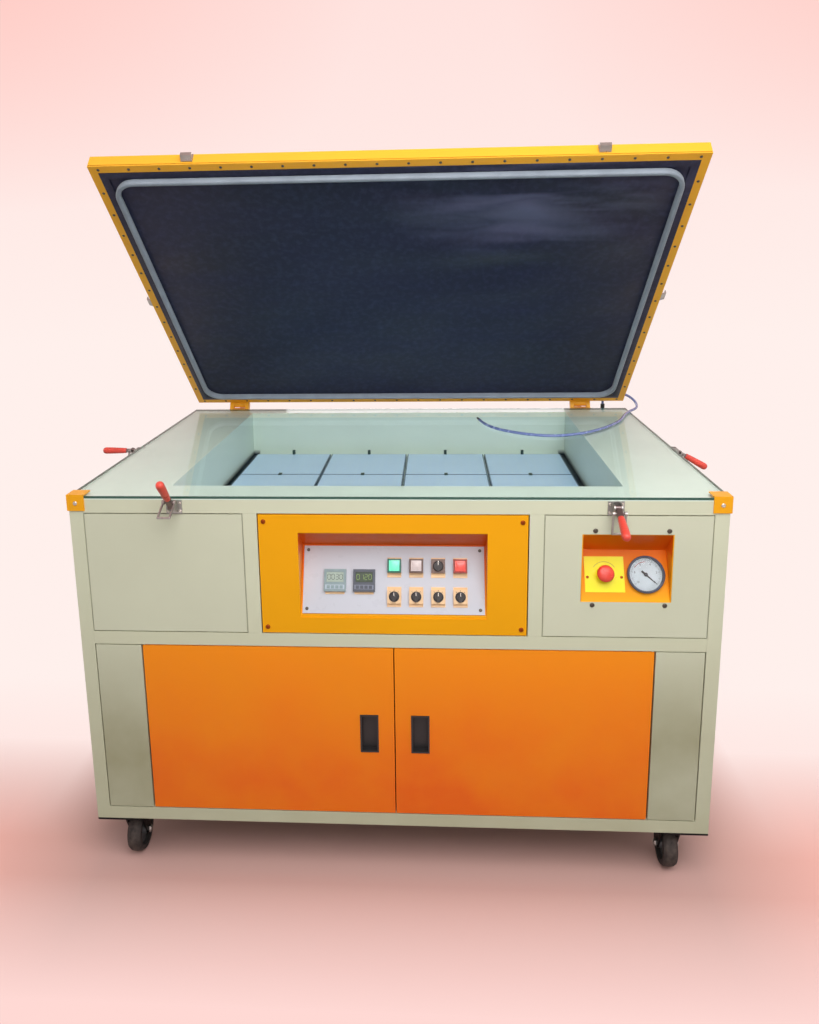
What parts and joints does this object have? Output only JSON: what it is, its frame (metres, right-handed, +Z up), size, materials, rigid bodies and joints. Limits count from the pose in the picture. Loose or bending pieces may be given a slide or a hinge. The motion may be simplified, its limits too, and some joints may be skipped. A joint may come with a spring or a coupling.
{
  "type": "screen printing exposure unit",
  "caption": "Screen exposure unit: wheeled cabinet with LED light table under glass, a hinged vacuum lid with rubber blanket, side clamps, recessed controls and cupboard doors.",
  "frame": {"origin": "on the ground under the middle of the cabinet", "axes": "+X to the unit's right seen from the front, +Y to the back, +Z up"},
  "size_m": [1.6184, 1.2048, 1.6431],
  "materials": {
    "cabinet_paint": "satin powder coat",
    "orange_paint": "satin powder coat",
    "table_glass": "clear, green edge",
    "led_diffuser": "pale blue diffuser",
    "white_plate": "white lacquer",
    "timer_plastic": "dark",
    "tan_plate": "tan",
    "gauge_metal": "bright rim",
    "yellow_plate": "yellow",
    "pump_metal": "grey enamel",
    "driver_metal": "folded sheet",
    "strut_metal": "gloss black",
    "clamp_steel": "zinc plated",
    "rod_chrome": "polished",
    "grip_red": "dipped vinyl",
    "caster_metal": "black",
    "wheel_rubber": "black",
    "black_plastic": "black",
    "hose_blue": "translucent blue",
    "blanket_rubber": "dark matte",
    "gasket_foam": "grey sponge",
    "button_green": "green",
    "button_white": "white",
    "button_red": "red"
  },
  "bodies": {
    "root": {"cabinet_frame": "cabinet_paint", "front_panels": "cabinet_paint", "side_panels": "cabinet_paint", "rear_panel": "cabinet_paint", "floor_panel": "cabinet_paint", "light_box": "cabinet_paint", "led_boards": "led_diffuser", "glass_top": "table_glass", "corner_guards": "orange_paint", "control_box": "orange_paint", "control_plate": "white_plate", "timers": "timer_plastic", "switch_bezels": "tan_plate", "gauge_box": "orange_paint", "gauge_case": "gauge_metal", "estop_base": "yellow_plate", "vacuum_pump": "pump_metal", "driver_boxes": "driver_metal", "hinge_blocks": "orange_paint", "strut_cylinders": "strut_metal", "clamp_bases": "clamp_steel", "caster_plates": "caster_metal", "hose_fitting": "black_plastic", "vacuum_hose": "hose_blue"},
    "lid": {"lid_frame": "orange_paint", "rubber_blanket": "blanket_rubber", "blanket_strips": "orange_paint", "lid_gasket": "gasket_foam", "lid_keepers": "clamp_steel"},
    "strut_rods": {"strut_rods": "rod_chrome"},
    "door_left": {"door_left": "orange_paint", "door_pull_left": "black_plastic"},
    "door_right": {"door_right": "orange_paint", "door_pull_right": "black_plastic"},
    "button_green": {"button_green": "button_green"},
    "button_white": {"button_white": "button_white"},
    "button_red": {"button_red": "button_red"},
    "selector_upper": {"selector_upper": "black_plastic"},
    "selector_lower_1": {"selector_lower_1": "black_plastic"},
    "selector_lower_2": {"selector_lower_2": "black_plastic"},
    "selector_lower_3": {"selector_lower_3": "black_plastic"},
    "selector_lower_4": {"selector_lower_4": "black_plastic"},
    "estop_button": {"estop_button": "button_red"},
    "gauge_pointer": {"gauge_pointer": "black_plastic"},
    "clamp_handle_front_left": {"clamp_handle_front_left": "grip_red"},
    "clamp_hook_front_left": {"clamp_hook_front_left": "clamp_steel"},
    "clamp_handle_front_right": {"clamp_handle_front_right": "grip_red"},
    "clamp_hook_front_right": {"clamp_hook_front_right": "clamp_steel"},
    "clamp_handle_side_left": {"clamp_handle_side_left": "grip_red"},
    "clamp_hook_side_left": {"clamp_hook_side_left": "clamp_steel"},
    "clamp_handle_side_right": {"clamp_handle_side_right": "grip_red"},
    "clamp_hook_side_right": {"clamp_hook_side_right": "clamp_steel"},
    "caster_fork_front_left": {"caster_fork_front_left": "caster_metal"},
    "wheel_front_left": {"wheel_front_left": "wheel_rubber"},
    "caster_fork_front_right": {"caster_fork_front_right": "caster_metal"},
    "wheel_front_right": {"wheel_front_right": "wheel_rubber"},
    "caster_fork_rear_left": {"caster_fork_rear_left": "caster_metal"},
    "wheel_rear_left": {"wheel_rear_left": "wheel_rubber"},
    "caster_fork_rear_right": {"caster_fork_rear_right": "caster_metal"},
    "wheel_rear_right": {"wheel_rear_right": "wheel_rubber"}
  },
  "joints": [
    {"name": "lid_hinge", "type": "hinge", "parent": "root", "child": "lid", "pos_m": [0, 0.502, 0.92], "axis": [1, 0, 0], "range_deg": [0, 42.3], "deforming": ["lid_gasket"]},
    {"name": "strut_slide", "type": "slide", "parent": "root", "child": "strut_rods", "axis": [0, 0, 1], "range_m": [0, 0.0615]},
    {"name": "door_left_hinge", "type": "hinge", "parent": "root", "child": "door_left", "pos_m": [-0.558, -0.496, 0.3605], "axis": [0, 0, -1], "range_deg": [0, 110]},
    {"name": "door_right_hinge", "type": "hinge", "parent": "root", "child": "door_right", "pos_m": [0.558, -0.496, 0.3605], "axis": [0, 0, 1], "range_deg": [0, 110]},
    {"name": "button_green_press", "type": "slide", "parent": "root", "child": "button_green", "axis": [0, 0.9114, -0.4114], "range_m": [0, 0.0025], "stiffness_N_per_m": 400},
    {"name": "button_white_press", "type": "slide", "parent": "root", "child": "button_white", "axis": [0, 0.9114, -0.4114], "range_m": [0, 0.0025], "stiffness_N_per_m": 400},
    {"name": "button_red_press", "type": "slide", "parent": "root", "child": "button_red", "axis": [0, 0.9114, -0.4114], "range_m": [0, 0.0025], "stiffness_N_per_m": 400},
    {"name": "selector_upper_turn", "type": "hinge", "parent": "root", "child": "selector_upper", "pos_m": [0.098, -0.45939, 0.73955], "axis": [0, -0.9114, 0.4114], "range_deg": [-45, 45]},
    {"name": "selector_lower_1_turn", "type": "hinge", "parent": "root", "child": "selector_lower_1", "pos_m": [0.002, -0.48654, 0.67939], "axis": [0, -0.9114, 0.4114], "range_deg": [-45, 45]},
    {"name": "selector_lower_2_turn", "type": "hinge", "parent": "root", "child": "selector_lower_2", "pos_m": [0.05, -0.48654, 0.67939], "axis": [0, -0.9114, 0.4114], "range_deg": [-45, 45]},
    {"name": "selector_lower_3_turn", "type": "hinge", "parent": "root", "child": "selector_lower_3", "pos_m": [0.098, -0.48654, 0.67939], "axis": [0, -0.9114, 0.4114], "range_deg": [-45, 45]},
    {"name": "selector_lower_4_turn", "type": "hinge", "parent": "root", "child": "selector_lower_4", "pos_m": [0.146, -0.48654, 0.67939], "axis": [0, -0.9114, 0.4114], "range_deg": [-45, 45]},
    {"name": "estop_press", "type": "slide", "parent": "root", "child": "estop_button", "axis": [0, 0.8926, -0.4508], "range_m": [0, 0.004], "stiffness_N_per_m": 600},
    {"name": "gauge_pointer_turn", "type": "hinge", "parent": "root", "child": "gauge_pointer", "pos_m": [0.5405, -0.47742, 0.73157], "axis": [0, -0.8926, 0.4508], "range_deg": [0, 264], "stiffness_Nm_per_rad": 0.002},
    {"name": "clamp_handle_front_left_turn", "type": "hinge", "parent": "root", "child": "clamp_handle_front_left", "pos_m": [-0.467, -0.52, 0.893], "axis": [-1, 0, 0], "range_deg": [-92, 1]},
    {"name": "clamp_hook_front_left_swing", "type": "hinge", "parent": "clamp_handle_front_left", "child": "clamp_hook_front_left", "pos_m": [-0.467, -0.53228, 0.90616], "axis": [-1, 0, 0], "range_deg": [-8, 45]},
    {"name": "clamp_handle_front_right_turn", "type": "hinge", "parent": "root", "child": "clamp_handle_front_right", "pos_m": [0.467, -0.52, 0.893], "axis": [-1, 0, 0], "range_deg": [-23, 70]},
    {"name": "clamp_hook_front_right_swing", "type": "hinge", "parent": "clamp_handle_front_right", "child": "clamp_hook_front_right", "pos_m": [0.467, -0.53669, 0.88626], "axis": [-1, 0, 0], "range_deg": [-8, 45]},
    {"name": "clamp_handle_side_left_turn", "type": "hinge", "parent": "root", "child": "clamp_handle_side_left", "pos_m": [-0.72, -0.025, 0.893], "axis": [0, 1, 0], "range_deg": [-45, 48]},
    {"name": "clamp_hook_side_left_swing", "type": "hinge", "parent": "clamp_handle_side_left", "child": "clamp_hook_side_left", "pos_m": [-0.738, -0.025, 0.893], "axis": [0, 1, 0], "range_deg": [-8, 45]},
    {"name": "clamp_handle_side_right_turn", "type": "hinge", "parent": "root", "child": "clamp_handle_side_right", "pos_m": [0.72, -0.025, 0.893], "axis": [0, -1, 0], "range_deg": [-15, 78]},
    {"name": "clamp_hook_side_right_swing", "type": "hinge", "parent": "clamp_handle_side_right", "child": "clamp_hook_side_right", "pos_m": [0.73559, -0.025, 0.884], "axis": [0, -1, 0], "range_deg": [-8, 45]},
    {"name": "caster_fork_front_left_swivel", "type": "hinge", "parent": "root", "child": "caster_fork_front_left", "pos_m": [-0.627, -0.462, 0.115], "axis": [0, 0, 1], "continuous": true},
    {"name": "wheel_front_left_spin", "type": "hinge", "parent": "caster_fork_front_left", "child": "wheel_front_left", "pos_m": [-0.627, -0.437, 0.05], "axis": [1, 0, 0], "continuous": true},
    {"name": "caster_fork_front_right_swivel", "type": "hinge", "parent": "root", "child": "caster_fork_front_right", "pos_m": [0.627, -0.462, 0.115], "axis": [0, 0, 1], "continuous": true},
    {"name": "wheel_front_right_spin", "type": "hinge", "parent": "caster_fork_front_right", "child": "wheel_front_right", "pos_m": [0.627, -0.437, 0.05], "axis": [1, 0, 0], "continuous": true},
    {"name": "caster_fork_rear_left_swivel", "type": "hinge", "parent": "root", "child": "caster_fork_rear_left", "pos_m": [-0.627, 0.462, 0.115], "axis": [0, 0, 1], "continuous": true},
    {"name": "wheel_rear_left_spin", "type": "hinge", "parent": "caster_fork_rear_left", "child": "wheel_rear_left", "pos_m": [-0.627, 0.487, 0.05], "axis": [1, 0, 0], "continuous": true},
    {"name": "caster_fork_rear_right_swivel", "type": "hinge", "parent": "root", "child": "caster_fork_rear_right", "pos_m": [0.627, 0.462, 0.115], "axis": [0, 0, 1], "continuous": true},
    {"name": "wheel_rear_right_spin", "type": "hinge", "parent": "caster_fork_rear_right", "child": "wheel_rear_right", "pos_m": [0.627, 0.487, 0.05], "axis": [1, 0, 0], "continuous": true}
  ],
  "couplings": [
    {"joint": "strut_slide", "follows": "lid_hinge", "m_per_rad": 0.08308}
  ]
}
